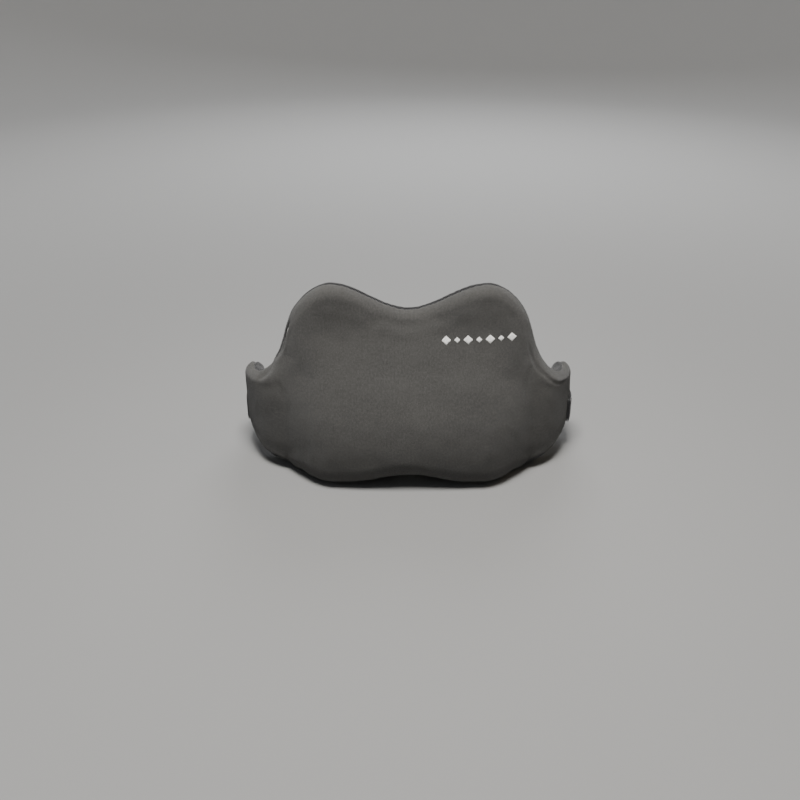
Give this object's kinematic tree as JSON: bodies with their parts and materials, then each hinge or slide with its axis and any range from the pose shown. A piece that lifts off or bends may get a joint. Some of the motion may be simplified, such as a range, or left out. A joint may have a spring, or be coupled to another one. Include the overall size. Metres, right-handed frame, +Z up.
{
  "type": "lumbar support cushion",
  "caption": "Butterfly-shaped foam lumbar cushion with wings that curl round a chair back, a zipped knit cover and an elastic strap with a side-release buckle.",
  "frame": {"origin": "bottom centre of the whole part's box, on the surface that the cushion stands on", "axes": "+X to the right as seen from the front, the front faces -Y, +Z up; the back panel is the upright plane y = 0.0098"},
  "size_m": [0.4436, 0.1734, 0.252],
  "materials": {
    "foam": "open-cell memory foam",
    "liner_jersey": "thin white stretch jersey",
    "cover_knit": "dark grey fine stretch knit, matt",
    "cover_mesh": "black spacer mesh",
    "zip_tape": "black woven tape",
    "zip_coil": "black nylon coil",
    "zip_metal": "black lacquered die-cast metal",
    "strap_webbing": "black ribbed webbing",
    "strap_elastic": "black woven elastic",
    "buckle_plastic": "black moulded acetal, satin",
    "label_cloth": "blank white woven label"
  },
  "bodies": {
    "cushion": {"foam_core": "foam", "inner_liner": "liner_jersey", "cover_front": "cover_knit", "cover_back": "cover_mesh", "zipper_tape_upper": "zip_tape", "zipper_tape_lower": "zip_tape", "zipper_coil_upper": "zip_coil", "zipper_coil_lower": "zip_coil", "zipper_top_stop_upper": "zip_metal", "zipper_top_stop_lower": "zip_metal", "zipper_bottom_stop": "zip_metal", "strap_tab": "strap_webbing", "strap_elastic": "strap_elastic", "buckle_female": "buckle_plastic", "care_label": "label_cloth"},
    "zip_slider": {"zipper_slider": "zip_metal"},
    "zip_pull": {"zipper_pull": "zip_metal"},
    "buckle_plug": {"buckle_male": "buckle_plastic", "strap_return": "strap_elastic"},
    "adjuster": {"tri_glide": "buckle_plastic"}
  },
  "joints": [
    {"name": "zip_slide", "type": "slide", "parent": "cushion", "child": "zip_slider", "axis": [-1, 0, 0], "range_m": [0, 0.248], "deforming": ["zipper_coil_upper", "zipper_coil_lower"]},
    {"name": "pull_swing", "type": "hinge", "parent": "zip_slider", "child": "zip_pull", "pos_m": [0.12285, 0.0135, 0.032], "axis": [0, 0, -1], "range_deg": [0, 170]},
    {"name": "buckle_release", "type": "slide", "parent": "cushion", "child": "buckle_plug", "axis": [-1, 0, 0], "range_m": [0, 0.03], "deforming": ["strap_elastic"]},
    {"name": "strap_adjust", "type": "slide", "parent": "buckle_plug", "child": "adjuster", "axis": [1, 0, 0], "range_m": [0, 0.05], "deforming": ["strap_return", "strap_elastic"]}
  ]
}
